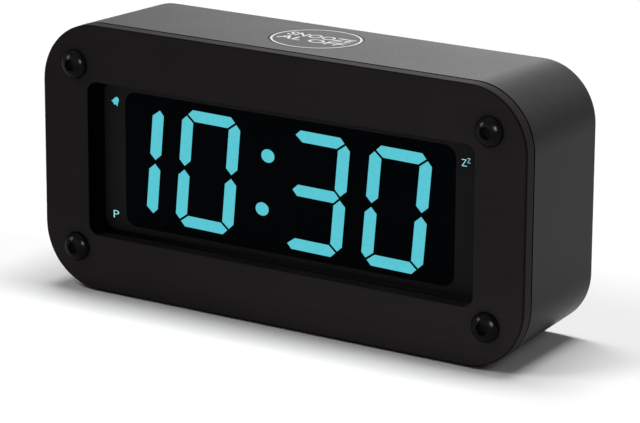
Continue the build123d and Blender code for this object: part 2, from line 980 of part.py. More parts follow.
# Snooze key, its switch and its board
def make_snooze_key():
    # the key and its flange follow the slope of the case's top
    key = pillar(snooze_oval(0), snooze_flange_low, case_top) & case_body(bezel_thickness, case_depth, 0)
    key = fillet(key.faces().sort_by(Axis.Z)[-1].edges(), snooze_edge_round)
    flange = pillar(snooze_oval(snooze_flange_lap), snooze_flange_low, case_top)
    key += flange & case_body(bezel_thickness, case_depth, wall + seat_gap)
    stem = Pos(snooze_x, snooze_depth) * Circle(snooze_stem_radius)
    return key + pillar(stem, snooze_switch_high - stem_engagement, snooze_flange_low)


def make_snooze_switch():
    half = snooze_switch_size / 2
    body = block(
        snooze_x - half,
        snooze_x + half,
        snooze_depth - half,
        snooze_depth + half,
        snooze_board_high,
        snooze_switch_high,
    )
    bore_low = snooze_switch_high - stem_engagement - snooze_travel - bore_room
    bore = Pos(snooze_x, snooze_depth) * Circle(snooze_stem_radius + slide_gap)
    return body - pillar(bore, bore_low, snooze_switch_high)


def make_snooze_board():
    half_width = snooze_post_reach + snooze_board_margin
    half_depth = snooze_board_depth / 2
    board = block(
        snooze_x - half_width,
        snooze_x + half_width,
        snooze_depth - half_depth,
        snooze_depth + half_depth,
        snooze_board_low,
        snooze_board_high,
    )
    for x in snooze_posts:
        hole = Pos(x, snooze_depth) * Circle(board_screw_radius + slide_gap)
        board -= pillar(hole, snooze_board_low, snooze_board_high)
    return board


# Leads and ribbon
def lead(points):
    spots = [(x, face_y + depth, mid_z + rise) for x, depth, rise in points]
    path = FilletPolyline(*spots, radius=lead_bend)
    return sweep(Plane(origin=path @ 0, z_dir=path % 0) * Circle(lead_radius), path)


def make_battery_lead_black():
    # out of the end wall of the bay, up beside it and across to the main board
    start_x = -bay_inner_length / 2
    outside_x = -bay_length / 2 - lead_bend
    board_x = main_board_left + main_post_inset
    return lead(
        [
            (start_x, lead_hole_depths[0], row_rises[0]),
            (outside_x, lead_hole_depths[0], row_rises[0]),
            (outside_x, lead_hole_depths[0], lead_rise),
            (board_x, lead_hole_depths[0], lead_rise),
            (board_x, main_board_front, lead_rise),
        ]
    )


def make_battery_lead_red():
    # the same way, outside the black lead and then in front of it
    start_x = -bay_inner_length / 2
    outside_x = -bay_length / 2 - lead_bend - lead_pitch
    board_x = main_board_left + main_post_inset + lead_pitch
    run_depth = lead_hole_depths[0] - lead_pitch
    return lead(
        [
            (start_x, lead_hole_depths[1], row_rises[1]),
            (outside_x, lead_hole_depths[1], row_rises[1]),
            (outside_x, lead_hole_depths[1], lead_rise),
            (outside_x, run_depth, lead_rise),
            (board_x, run_depth, lead_rise),
            (board_x, main_board_front, lead_rise),
        ]
    )


def make_buzzer_leads():
    front = cover_front - buzzer_height
    start_x = buzzer_x + buzzer_radius / 2
    board_x = main_board_left + main_post_inset + lead_pitch
    leads = []
    for rise in (buzzer_rise - lead_pitch / 2, buzzer_rise + lead_pitch / 2):
        leads.append(
            lead(
                [
                    (start_x, front, rise),
                    (start_x, lead_hole_depths[0], rise),
                    (board_x, lead_hole_depths[0], rise),
                    (board_x, main_board_front, rise),
                ]
            )
        )
    return group(leads)


def make_snooze_leads():
    middle_x = snooze_x + snooze_switch_size
    end_rise = snooze_board_low - 2 * lead_bend
    leads = []
    for x in (middle_x, middle_x + lead_pitch):
        leads.append(
            lead(
                [
                    (x, snooze_depth, snooze_board_low),
                    (x, snooze_depth, end_rise),
                    (x, main_board_front, end_rise),
                ]
            )
        )
    return group(leads)


ribbon_x = main_board_right - key_end_margin
ribbon_near = display_board_back + ribbon_socket_depth
ribbon_far = main_board_front - ribbon_socket_depth


def make_ribbon_sockets():
    half = ribbon_socket_width / 2
    tall = ribbon_socket_height / 2
    spans = ((display_board_back, ribbon_near), (ribbon_far, main_board_front))
    return group(
        block(ribbon_x - half, ribbon_x + half, near, far, key_rise - tall, key_rise + tall)
        for near, far in spans
    )


def make_ribbon():
    # a bowed flat strip between the two sockets, drawn in depth and rise
    middle = (ribbon_near + ribbon_far) / 2
    low = key_rise
    high = key_rise + ribbon_thickness
    under = ThreePointArc((ribbon_near, low), (middle, low + ribbon_bow), (ribbon_far, low))
    over = ThreePointArc((ribbon_far, high), (middle, high + ribbon_bow), (ribbon_near, high))
    ends = [Line((ribbon_far, low), (ribbon_far, high)), Line((ribbon_near, high), (ribbon_near, low))]
    strip = make_face(Curve() + [under, ends[0], over, ends[1]])
    left = ribbon_x - ribbon_width / 2
    plane = Plane(origin=(left, face_y, mid_z), x_dir=(0, 1, 0), z_dir=(1, 0, 0))
    return extrude(plane * strip, ribbon_width)


parts = {
    "front_bezel": make_front_bezel(),
    "bezel_screws": make_bezel_screws(),
    "bezel_inserts": make_bezel_inserts(),
    "case_shell": make_case_shell(),
    "rubber_feet": make_rubber_feet(),
    "window_gasket": make_window_gasket(),
    "rear_cover": make_rear_cover(),
    "rear_cover_screws": make_rear_cover_screws(),
    "display_mask": make_display_mask(),
    "display_face": make_display_face(),
    "hour_tens_digit": make_segments(lit[0]),
    "hour_units_digit": make_segments(lit[1]),
    "minute_tens_digit": make_segments(lit[2]),
    "minute_units_digit": make_segments(lit[3]),
    "colon_dots": make_colon_dots(),
    "unlit_segments": make_segments(unlit),
    "led_reflector": make_led_reflector(),
    "led_chips": make_led_chips(),
    "display_board": make_display_board(),
    "display_screws": make_display_screws(),
    "snooze_key": make_snooze_key(),
    "snooze_switch": make_snooze_switch(),
    "snooze_board": make_snooze_board(),
    "snooze_screws": make_snooze_screws(),
    "snooze_leads": make_snooze_leads(),
    "main_board": make_main_board(),
    "main_board_screws": make_main_board_screws(),
    "clock_chip": make_clock_chip(),
    "crystal": make_crystal(),
    "capacitor": make_capacitor(),
    "key_switches": make_key_switches(),
    "alarm_slide": make_alarm_slide(),
    "slide_switch": make_slide_switch(),
    "buzzer": make_buzzer(),
    "buzzer_leads": make_buzzer_leads(),
    "ribbon": make_ribbon(),
    "ribbon_sockets": make_ribbon_sockets(),
    "battery_bay": make_battery_bay(),
    "battery_door": make_battery_door(),
    "negative_contact": make_negative_contact(),
    "positive_contact": make_positive_contact(),
    "link_contact": make_link_contact(),
    "battery_lead_black": make_battery_lead_black(),
    "battery_lead_red": make_battery_lead_red(),
}
for name, x in zip(key_names, key_places):
    parts[name] = make_key(x)
for row in range(2):
    for number in range(2):
        parts[f"battery_{2 * row + number + 1}"] = make_cell(row, number)

os.makedirs("parts", exist_ok=True)
for name, shape in parts.items():
    export_step(shape, f"parts/{name}.step")
print("case", round(case_width, 2), round(case_height, 2), round(case_depth, 2))
print("door hinge at", round(face_y + hinge_depth, 4), round(mid_z + hinge_rise, 4))
print("digit", round(digit_width, 2), round(digit_height, 2), "black", black_width, black_height)
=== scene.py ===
import math

import bpy
import numpy as np
from mathutils import Matrix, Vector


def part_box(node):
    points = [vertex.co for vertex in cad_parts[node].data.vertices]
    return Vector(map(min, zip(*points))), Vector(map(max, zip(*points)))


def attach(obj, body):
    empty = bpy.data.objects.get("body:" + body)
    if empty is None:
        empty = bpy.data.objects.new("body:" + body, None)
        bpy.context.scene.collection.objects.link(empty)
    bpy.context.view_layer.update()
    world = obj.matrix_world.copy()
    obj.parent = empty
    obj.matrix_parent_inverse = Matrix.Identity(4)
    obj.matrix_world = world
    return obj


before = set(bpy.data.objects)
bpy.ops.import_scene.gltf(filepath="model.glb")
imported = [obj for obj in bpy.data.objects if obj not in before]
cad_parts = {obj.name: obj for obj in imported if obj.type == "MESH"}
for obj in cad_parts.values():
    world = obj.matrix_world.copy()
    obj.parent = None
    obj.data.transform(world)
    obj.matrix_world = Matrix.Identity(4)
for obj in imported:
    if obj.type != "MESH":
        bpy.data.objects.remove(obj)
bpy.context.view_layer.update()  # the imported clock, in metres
print("frame loaded:", len(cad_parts), "nodes")

scene = bpy.context.scene
scene.view_settings.view_transform = "Standard"
mm = 0.001  # the dictionaries below are in millimetres
bezelLow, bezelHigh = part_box("front_bezel")
shellLow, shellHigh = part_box("case_shell")
faceY = bezelLow.y  # front of the bezel
midZ = (bezelLow.z + bezelHigh.z) / 2  # middle of the face
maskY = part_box("display_mask")[0].y  # front of the display's border
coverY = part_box("rear_cover")[1].y  # back of the rear cover
topDrop = 0.75  # how far the case's top slopes down to the back
topFall = topDrop * mm / (shellHigh.y - shellLow.y)


# Height of the case's top at a place between the bezel and the back
def topZ(y):
    return shellHigh.z - topFall * (y - shellLow.y)


def middleOf(node):
    low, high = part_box(node)
    return (low + high) / 2


# Places a camera or lamp, with its back to one direction and its right side about to another
def setDown(thing, place, back, right):
    back = np.array(back) / np.linalg.norm(back)
    up = np.cross(back, right)
    up /= np.linalg.norm(up)
    turn = Matrix(np.column_stack([np.cross(up, back), up, back]).tolist()).to_4x4()
    thing.matrix_world = Matrix.Translation(np.array(place) * mm) @ turn


# Camera, at the photograph's angle: a long lens to the right of the clock and above it
camera = {
    "place": (445.23, -678.88, 257.05),
    "looks": (-0.52566, 0.80569, -0.27302),
    "right": (0.83672, 0.54761, 0.00504),
    "lens": 184.95,
    "sensor": 36.0,
    "nearest": 10.0,  # what is closer isn't drawn
}


def makeCamera(spec):
    data = bpy.data.cameras.new("photoCamera")
    data.lens = spec["lens"]
    data.sensor_width = spec["sensor"]
    data.clip_start = spec["nearest"] * mm
    shot = bpy.data.objects.new("photoCamera", data)
    scene.collection.objects.link(shot)
    setDown(shot, spec["place"], -np.array(spec["looks"]), spec["right"])
    scene.camera = shot


makeCamera(camera)
print("camera set")


# Node helpers: a node with its settings, and values or links for its inputs
def addNode(tree, kind, inputs=None, **settings):
    node = tree.nodes.new(kind)
    for name, value in settings.items():
        setattr(node, name, value)
    for name, value in (inputs or {}).items():
        if isinstance(value, bpy.types.NodeSocket):
            tree.links.new(value, node.inputs[name])
        else:
            node.inputs[name].default_value = value
    return node


def calc(tree, operation, first, second=0.0):
    return addNode(tree, "ShaderNodeMath", {0: first, 1: second}, operation=operation).outputs[0]


# A value carried from one pair of limits to another, and held at the ends
def mapRange(tree, value, limits, results=(0.0, 1.0), **settings):
    inputs = {"Value": value, "From Min": limits[0], "From Max": limits[1]}
    inputs.update({"To Min": results[0], "To Max": results[1]})
    return addNode(tree, "ShaderNodeMapRange", inputs, **settings).outputs[0]


def splitPlace(tree, place):
    return addNode(tree, "ShaderNodeSeparateXYZ", {0: place}).outputs


def mixValues(tree, mask, low, high):
    return addNode(tree, "ShaderNodeMix", {0: mask, "A": low, "B": high}).outputs["Result"]


# Two colours, each a triple or a socket
def mixColours(tree, mask, low, high):
    first, second = ((*colour, 1.0) if isinstance(colour, tuple) else colour for colour in (low, high))
    inputs = {0: mask, "A": first, "B": second}
    return addNode(tree, "ShaderNodeMix", inputs, data_type="RGBA").outputs["Result"]


def timesColour(tree, colour, factor):
    inputs = {0: 1.0, "A": colour, "B": factor}
    return addNode(tree, "ShaderNodeMix", inputs, data_type="RGBA", blend_type="MULTIPLY").outputs["Result"]


# A shader group, whose inputs are numbers or vectors with these defaults, and whose outputs are numbers
def addGroup(name, inputs, outputs):
    group = bpy.data.node_groups.new(name, "ShaderNodeTree")
    for label, value in inputs.items():
        kind = "NodeSocketVector" if isinstance(value, tuple) else "NodeSocketFloat"
        socket = group.interface.new_socket(name=label, in_out="INPUT", socket_type=kind)
        socket.default_value = value
    for label in outputs:
        group.interface.new_socket(name=label, in_out="OUTPUT", socket_type="NodeSocketFloat")
    return group, group.nodes.new("NodeGroupInput").outputs, group.nodes.new("NodeGroupOutput").inputs


def useGroup(tree, group, inputs):
    return addNode(tree, "ShaderNodeGroup", inputs, node_tree=group).outputs


patterns = {
    "drawnStreaks": {"detail": 3.0, "roughness": 0.6, "limits": (0.35, 0.65)},  # lines from brushing
    "mouldedGrain": {"detail": 2.0, "roughness": 0.55, "limits": (0.3, 0.7)},  # fine and even
    "softPatches": {"detail": 4.0, "roughness": 0.5, "limits": (0.35, 0.65)},  # wide, from handling
}


# A pattern is noise on the stretched place, spread between its limits to a mask of nought to one
def makePattern(name, spec):
    group, given, result = addGroup(name, {"Vector": (0, 0, 0), "Stretch": (1, 1, 1)}, ["Mask"])
    product = {0: given["Vector"], 1: given["Stretch"]}
    stretched = addNode(group, "ShaderNodeVectorMath", product, operation="MULTIPLY").outputs["Vector"]
    look = {"Vector": stretched, "Scale": 1.0, "Detail": spec["detail"], "Roughness": spec["roughness"]}
    noise = addNode(group, "ShaderNodeTexNoise", look).outputs[0]
    group.links.new(mapRange(group, noise, spec["limits"]), result["Mask"])
    return group


patternGroups = {name: makePattern(name, spec) for name, spec in patterns.items()}


# The stretch is a number for each axis, or one for all three
def usePattern(tree, name, place, stretch):
    stretches = stretch if isinstance(stretch, tuple) else (stretch,) * 3
    return useGroup(tree, patternGroups[name], {"Vector": place, "Stretch": stretches})["Mask"]


# A painted shade: colour made lighter or darker evenly along an axis, from the first share at its start to
# the last at its end
def makePaintedEvenShade():
    inputs = {"Vector": (0, 0, 0), "Axis": (1, 0, 0), "Start": 0.0, "End": 1.0, "First": 0.0, "Last": 1.0}
    group, given, result = addGroup("paintedEvenShade", inputs, ["Shade"])
    product = {0: given["Vector"], 1: given["Axis"]}
    along = addNode(group, "ShaderNodeVectorMath", product, operation="DOT_PRODUCT").outputs["Value"]
    paintedShade = mapRange(group, along, (given["Start"], given["End"]), (given["First"], given["Last"]))
    group.links.new(paintedShade, result["Shade"])
    return group


paintedEvenShadeGroup = makePaintedEvenShade()
alongX = (1.0, 0.0, 0.0)
alongZ = (0.0, 0.0, 1.0)


# Painted light and shade along an axis, placed in a material
def usePaintedEvenShade(tree, place, spec):
    start, end = (distance * mm for distance in spec["from"])
    first, last = spec["share"]
    inputs = {"Vector": place, "Axis": spec["axis"], "Start": start, "End": end}
    inputs.update({"First": first, "Last": last})
    return useGroup(tree, paintedEvenShadeGroup, inputs)["Shade"]


# Painted shade on the bezel: its rounded edge is painted darkest through the middle half of the rounding.
# The walls of its window, inside the window's box and behind the face, are painted dark at the left and
# lighter to the right
def bezelPaintedShade(tree, place, spec):
    parts = splitPlace(tree, place)
    through = mapRange(tree, parts["Y"], (faceY, faceY + spec["rounding"] * mm))
    swing = calc(tree, "PINGPONG", through, 0.5)
    # Painted shade on the rounded edge
    edge = mapRange(tree, swing, (0.0, 0.25), (1.0, spec["edgePaintedShadeShare"]))
    beside = calc(tree, "LESS_THAN", calc(tree, "ABSOLUTE", parts["X"]), spec["halfWidth"] * mm)
    rise = calc(tree, "SUBTRACT", parts["Z"], midZ)
    above = calc(tree, "LESS_THAN", calc(tree, "ABSOLUTE", rise), spec["halfHeight"] * mm)
    behind = calc(tree, "GREATER_THAN", parts["Y"], faceY + spec["behind"] * mm)
    inside = calc(tree, "MULTIPLY", calc(tree, "MULTIPLY", beside, above), behind)
    return mixValues(tree, inside, edge, usePaintedEvenShade(tree, place, spec["walls"]))


# Mask of the painted shadow in the seam behind the bezel: one up to a line that lies further back at the top
# of the case
def paintedSeamShadowMask(tree, place, spec):
    parts = splitPlace(tree, place)
    heights = (shellHigh.z - spec["rise"] * mm, shellHigh.z)
    line = mapRange(tree, parts["Z"], heights, [faceY + distance * mm for distance in spec["behind"]])
    return calc(tree, "LESS_THAN", parts["Y"], line)


# A new material, with constants on its shader's sockets, and the place that its patterns read
def startMaterial(name, sockets):
    material = bpy.data.materials.new(name)
    material.use_nodes = True
    tree = material.node_tree
    shader = tree.nodes["Principled BSDF"]
    for label, value in sockets.items():
        shader.inputs[label].default_value = value
    place = addNode(tree, "ShaderNodeTexCoord").outputs["Object"]
    return material, tree, shader, place


handling = {"stretch": 35.0, "share": 0.3}  # scale of the soft patches, and their share of each mask
bumpStrength = 0.3


# A finish with a fine pattern, streaks or grain, over soft patches of handling
def patternedFinish(name, spec):
    material, tree, shader, place = startMaterial(name, spec.get("sockets", {}))
    if "streaks" in spec:
        pattern = usePattern(tree, "drawnStreaks", place, spec["streaks"])
    else:
        pattern = usePattern(tree, "mouldedGrain", place, spec["grain"])
    patch = usePattern(tree, "softPatches", place, handling["stretch"])
    mask = mixValues(tree, handling["share"], pattern, patch)
    colour = mixColours(tree, mask, spec["dark"], spec["light"])
    roughness = mapRange(tree, mask, (0.0, 1.0), spec["roughness"])
    # Painted shade on the bezel's rounded edge and the walls of its window
    if "bezel" in spec:
        colour = timesColour(tree, colour, bezelPaintedShade(tree, place, spec["bezel"]))
    # Painted light and shade, evenly along an axis
    for paintedShade in spec.get("paintedShades", ()):
        colour = timesColour(tree, colour, usePaintedEvenShade(tree, place, paintedShade))
    # Painted shadow in the seam behind the bezel: near-black colour, and full roughness to take its shine
    # away
    if "paintedSeamShadow" in spec:
        paintedSeamShadow = paintedSeamShadowMask(tree, place, spec["paintedSeamShadow"])
        colour = timesColour(tree, colour, mapRange(tree, paintedSeamShadow, (0.0, 1.0), (1.0, spec["paintedSeamShadow"]["share"])))
        roughness = calc(tree, "MAXIMUM", roughness, paintedSeamShadow)
    tree.links.new(colour, shader.inputs["Base Color"])
    tree.links.new(roughness, shader.inputs["Roughness"])
    if "height" in spec:
        relief = {"Height": pattern, "Strength": bumpStrength, "Distance": spec["height"] * mm}
        tree.links.new(addNode(tree, "ShaderNodeBump", relief).outputs[0], shader.inputs["Normal"])
    return material


# Each finish: two colours, limits of roughness, streaks or grain by their scale, and the relief's height
finishes = {
    "bezelBrushed": {
        "dark": (0.0152, 0.013, 0.0139),
        "light": (0.0198, 0.0171, 0.0183),
        "roughness": (0.38, 0.48),
        "streaks": (25.0, 2200.0, 2200.0),
        "height": 0.004,
        "bezel": {
            # Painted shade: a dark band on the rounded edge, and the window's walls painted dark at the left
            "rounding": 0.9,  # depth of the rounded edge
            "edgePaintedShadeShare": 0.3,  # share of the colour that is left on it
            "behind": 0.15,  # where the walls of the window begin, behind the face
            "halfWidth": 58.7,  # half the box round the window
            "halfHeight": 20.9,
            "walls": {"axis": alongX, "from": (-58.4, -52.0), "share": (0.08, 0.85)},
        },
        # Painted light and shade on the face: darker at the left, lighter to the right, and lighter towards
        # the bottom
        "paintedShades": (
            {"axis": alongX, "from": (-72.0, 72.0), "share": (0.75, 1.1)},
            {"axis": alongZ, "from": (2.0, 24.0), "share": (1.38, 0.98)},
        ),
        "sockets": {"Specular IOR Level": 0.02},
    },
    "caseSatin": {
        "dark": (0.0085, 0.0068, 0.0074),
        "light": (0.0115, 0.0096, 0.0102),
        "roughness": (0.3, 0.38),
        "streaks": (1800.0, 1800.0, 25.0),
        "height": 0.002,
        # Painted shadow in the seam behind the bezel
        "paintedSeamShadow": {"behind": (4.15, 4.5), "rise": 3.0, "share": 0.05},  # behind the face, at the sides and top
        "sockets": {"Specular IOR Level": 0.075},
    },
    "screwBlack": {
        "dark": (0.0048, 0.0043, 0.0045),
        "light": (0.0066, 0.006, 0.0062),
        "roughness": (0.18, 0.24),
        "grain": 3000.0,
        "sockets": {"Specular IOR Level": 0.03},
    },
    "maskGrey": {
        "dark": (0.006, 0.0052, 0.0055),
        "light": (0.0085, 0.0075, 0.0078),
        "roughness": (0.5, 0.6),
        "grain": 5000.0,
        "height": 0.004,
        # Painted light: the border lighter at the left, where the window's wall shades it
        "paintedShades": ({"axis": alongX, "from": (-57.0, 57.0), "share": (1.3, 1.05)},),
        "sockets": {"Specular IOR Level": 0.05},
    },
    "smokedFace": {
        "dark": (0.0004, 0.0009, 0.0014),
        "light": (0.0006, 0.0012, 0.0018),
        "roughness": (0.22, 0.3),
        "grain": 1500.0,
        "sockets": {"Specular IOR Level": 0.008},
    },
    "unlitSegment": {
        "dark": (0.0007, 0.0011, 0.0015),
        "light": (0.001, 0.0015, 0.0021),
        "roughness": (0.3, 0.4),
        "grain": 1500.0,
        "sockets": {"Specular IOR Level": 0.008},
    },
    "coverGrain": {
        "dark": (0.008, 0.008, 0.0083),
        "light": (0.014, 0.014, 0.0145),
        "roughness": (0.45, 0.6),
        "grain": 4200.0,
        "height": 0.02,
        "sockets": {"Specular IOR Level": 0.45},
    },
    "setKeyPlastic": {
        "dark": (0.02, 0.02, 0.021),
        "light": (0.03, 0.03, 0.031),
        "roughness": (0.4, 0.5),
        "grain": 6000.0,
        "height": 0.008,
        "sockets": {"Specular IOR Level": 0.45},
    },
    "footRubber": {
        "dark": (0.008, 0.008, 0.008),
        "light": (0.014, 0.014, 0.014),
        "roughness": (0.75, 0.9),
        "grain": 2500.0,
        "height": 0.03,
        "sockets": {"Specular IOR Level": 0.3},
    },
    # The gasket's dark, shineless finish stands in for the shade on the window's ledge, and is painted
    # darker at the left
    "gasketFoamPaintedShade": {
        "dark": (0.0105, 0.0088, 0.0092),
        "light": (0.0135, 0.0115, 0.012),
        "roughness": (0.85, 0.95),
        "grain": 3500.0,
        "height": 0.02,
        "paintedShades": ({"axis": alongX, "from": (-57.0, -10.0), "share": (0.12, 1.3)},),
        "sockets": {"Specular IOR Level": 0.0},
    },
    "insertBrass": {
        "dark": (0.45, 0.3, 0.09),
        "light": (0.62, 0.44, 0.16),
        "roughness": (0.25, 0.4),
        "grain": 2500.0,
        "sockets": {"Metallic": 1.0},
    },
    "platedSteel": {
        "dark": (0.42, 0.42, 0.41),
        "light": (0.6, 0.59, 0.57),
        "roughness": (0.25, 0.4),
        "grain": 2500.0,
        "sockets": {"Metallic": 1.0},
    },
    "reflectorWhite": {
        "dark": (0.7, 0.7, 0.68),
        "light": (0.8, 0.8, 0.78),
        "roughness": (0.4, 0.5),
        "grain": 3000.0,
    },
    "boardGreen": {
        "dark": (0.012, 0.09, 0.035),
        "light": (0.025, 0.14, 0.055),
        "roughness": (0.25, 0.4),
        "streaks": (900.0, 900.0, 60.0),
        "height": 0.01,
    },
    "componentBlack": {
        "dark": (0.012, 0.012, 0.013),
        "light": (0.022, 0.022, 0.023),
        "roughness": (0.4, 0.55),
        "grain": 4000.0,
        "height": 0.01,
    },
    "leadBlack": {
        "dark": (0.012, 0.012, 0.012),
        "light": (0.02, 0.02, 0.02),
        "roughness": (0.4, 0.5),
        "grain": 3000.0,
    },
    "leadRed": {
        "dark": (0.32, 0.012, 0.012),
        "light": (0.45, 0.02, 0.02),
        "roughness": (0.4, 0.5),
        "grain": 3000.0,
    },
    "ribbonGrey": {
        "dark": (0.25, 0.25, 0.25),
        "light": (0.42, 0.42, 0.42),
        "roughness": (0.4, 0.5),
        "streaks": (1300.0, 20.0, 20.0),
        "height": 0.05,
    },
    "printWhite": {
        "dark": (0.62, 0.62, 0.63),
        "light": (0.74, 0.74, 0.75),
        "roughness": (0.45, 0.6),
        "grain": 6000.0,
        "sockets": {"Specular IOR Level": 0.3},
    },
}
made = {name: patternedFinish(name, spec) for name, spec in finishes.items()}

# Lit segments glow evenly, with a faint mottle from the diffuser behind them. The small letters are paler
litFinishes = {
    "litCyan": {"dark": (0.1, 0.553, 0.636), "light": (0.108, 0.586, 0.676), "grain": 900.0},
    "litPale": {"dark": (0.32, 0.76, 0.82), "light": (0.36, 0.82, 0.88), "grain": 900.0},
}


def litFinish(name, spec):
    sockets = {"Base Color": (0, 0, 0, 1), "Specular IOR Level": 0.0, "Emission Strength": 1.0}
    material, tree, shader, place = startMaterial(name, sockets)
    mottle = usePattern(tree, "mouldedGrain", place, spec["grain"])
    tree.links.new(mixColours(tree, mottle, spec["dark"], spec["light"]), shader.inputs["Emission Color"])
    return material


made.update({name: litFinish(name, spec) for name, spec in litFinishes.items()})

# Cells: a plain sleeve with one pale band, and bare steel at the ends of each cell
cellSleeve = {
    "sleeve": (0.05, 0.055, 0.065),
    "band": (0.45, 0.46, 0.48),
    "steel": (0.55, 0.54, 0.52),
    "bandFrom": 0.62,  # share of the cell's length, from its base
    "bandTo": 0.72,
    "endShare": 0.03,
    "scuffs": 120.0,
    "roughness": (0.3, 0.42),
    "tipRight": {"battery_1": True, "battery_2": True, "battery_3": False, "battery_4": False},
}


# Masks of a cell's band and of its ends, from the share of its length that lies between base and place
def makeCellBands(spec):
    inputs = {"Vector": (0, 0, 0), "Base": 0.0, "Tip": 1.0}
    group, given, result = addGroup("cellBands", inputs, ["Band", "End"])
    share = mapRange(group, splitPlace(group, given["Vector"])["X"], (given["Base"], given["Tip"]))
    afterStart = calc(group, "GREATER_THAN", share, spec["bandFrom"])
    beforeStop = calc(group, "LESS_THAN", share, spec["bandTo"])
    fromMiddle = calc(group, "ABSOLUTE", calc(group, "SUBTRACT", share, 0.5))
    group.links.new(calc(group, "MULTIPLY", afterStart, beforeStop), result["Band"])
    group.links.new(calc(group, "GREATER_THAN", fromMiddle, 0.5 - spec["endShare"]), result["End"])
    return group


cellBandGroup = makeCellBands(cellSleeve)


def makeCellSleeve(node, spec):
    material, tree, shader, place = startMaterial(node + "Sleeve", {})
    low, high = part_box(node)
    base, tip = (low.x, high.x) if spec["tipRight"][node] else (high.x, low.x)
    bands = useGroup(tree, cellBandGroup, {"Vector": place, "Base": base, "Tip": tip})
    sleeve = mixColours(tree, bands["Band"], spec["sleeve"], spec["band"])
    tree.links.new(mixColours(tree, bands["End"], sleeve, spec["steel"]), shader.inputs["Base Color"])
    tree.links.new(bands["End"], shader.inputs["Metallic"])
    scuff = usePattern(tree, "softPatches", place, spec["scuffs"])
    tree.links.new(mapRange(tree, scuff, (0.0, 1.0), spec["roughness"]), shader.inputs["Roughness"])
    return material


# Which finish each node of the clock has, apart from the cells
dressing = {
    "bezelBrushed": ["front_bezel"],
    "caseSatin": ["case_shell", "snooze_key"],
    "screwBlack": ["bezel_screws"],
    "insertBrass": ["bezel_inserts"],
    "coverGrain": ["rear_cover", "battery_door", "battery_bay"],
    "setKeyPlastic": ["time_key", "alarm_key", "hour_key", "minute_key", "alarm_slide"],
    "maskGrey": ["display_mask"],
    "smokedFace": ["display_face"],
    "litCyan": [
        "hour_tens_digit", "hour_units_digit", "minute_tens_digit", "minute_units_digit", "colon_dots",
    ],
    "unlitSegment": ["unlit_segments"],
    "reflectorWhite": ["led_reflector", "led_chips"],
    "boardGreen": ["display_board", "main_board", "snooze_board"],
    "componentBlack": [
        "clock_chip", "capacitor", "key_switches", "slide_switch", "snooze_switch", "buzzer",
        "ribbon_sockets",
    ],
    "platedSteel": [
        "display_screws", "main_board_screws", "rear_cover_screws", "snooze_screws", "crystal",
        "negative_contact", "positive_contact", "link_contact",
    ],
    "footRubber": ["rubber_feet"],
    "gasketFoamPaintedShade": ["window_gasket"],
    "leadBlack": ["battery_lead_black", "snooze_leads", "buzzer_leads"],
    "leadRed": ["battery_lead_red"],
    "ribbonGrey": ["ribbon"],
}
dressed = {node: made[finish] for finish, nodes in dressing.items() for node in nodes}
dressed.update({node: makeCellSleeve(node, cellSleeve) for node in cellSleeve["tipRight"]})
for node, material in dressed.items():
    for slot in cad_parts[node].material_slots:
        slot.material = material
print("finishes on", len(dressed), "nodes")


# Pieces printed on the clock
def gridMesh(name, points, faces):
    mesh = bpy.data.meshes.new(name)
    mesh.from_pydata(points.reshape(-1, 3), [], faces)
    mesh.update()
    return mesh


# Faces of a grid of rows by columns. A closed side runs on from its last row or column to the first
def gridFaces(rows, columns, closedRows=False, closedColumns=False):
    row = np.arange(rows if closedRows else rows - 1)[:, None]
    column = np.arange(columns if closedColumns else columns - 1)[None, :]
    here, there = row * columns, ((row + 1) % rows) * columns
    nextColumn = (column + 1) % columns
    corners = [here + column, there + column, there + nextColumn, here + nextColumn]
    return np.stack(corners, axis=-1).reshape(-1, 4)


def finishPiece(name, mesh, material, body):
    mesh.materials.clear()
    mesh.materials.append(material)
    piece = bpy.data.objects.new(name, mesh)
    scene.collection.objects.link(piece)
    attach(piece, body)
    return piece


snoozeRing = {"halfWidth": 11.63, "halfDepth": 11.1, "line": 0.55, "sunk": 0.05, "proud": 0.02, "steps": 192}


# A flat band carried round an oval: each step of the angle gives the oval's point and its outward
# direction, and the band's four corners lie half a line inside or outside it, low or high
def makeSnoozeRing(spec):
    centre = middleOf("snooze_key")
    angle = np.linspace(0, 2 * np.pi, spec["steps"], endpoint=False)
    a, b = spec["halfWidth"] * mm, spec["halfDepth"] * mm
    oval = np.stack([a * np.cos(angle), b * np.sin(angle)], axis=-1)
    outward = np.stack([np.cos(angle) / a, np.sin(angle) / b], axis=-1)
    outward /= np.linalg.norm(outward, axis=-1, keepdims=True)
    half = spec["line"] * mm / 2
    across = np.array([-half, half, half, -half])
    height = np.array([-spec["sunk"], -spec["sunk"], spec["proud"], spec["proud"]]) * mm
    points = np.empty((spec["steps"], len(across), 3))
    flat = oval[:, None, :] + across[None, :, None] * outward[:, None, :]
    points[..., :2] = flat + np.array([centre.x, centre.y])
    points[..., 2] = topZ(points[..., 1]) + height
    mesh = gridMesh("snoozeRing", points, gridFaces(spec["steps"], len(across), True, True))
    finishPiece("snoozeRing", mesh, made["printWhite"], "snooze_button")


# Letters set flat, with a heavier or lighter stroke by their weight
def letterMesh(name, text, weight):
    font = bpy.data.curves.new(name + "Curve", "FONT")
    font.body = text
    font.size = 1.0
    font.offset = weight
    font.extrude = 0.5  # any depth, because setWord scales it
    font.resolution_u = 6
    holder = bpy.data.objects.new(name + "Curve", font)
    scene.collection.objects.link(holder)
    mesh = bpy.data.meshes.new_from_object(holder.evaluated_get(bpy.context.evaluated_depsgraph_get()))
    bpy.data.objects.remove(holder)
    mesh.name = name
    return mesh


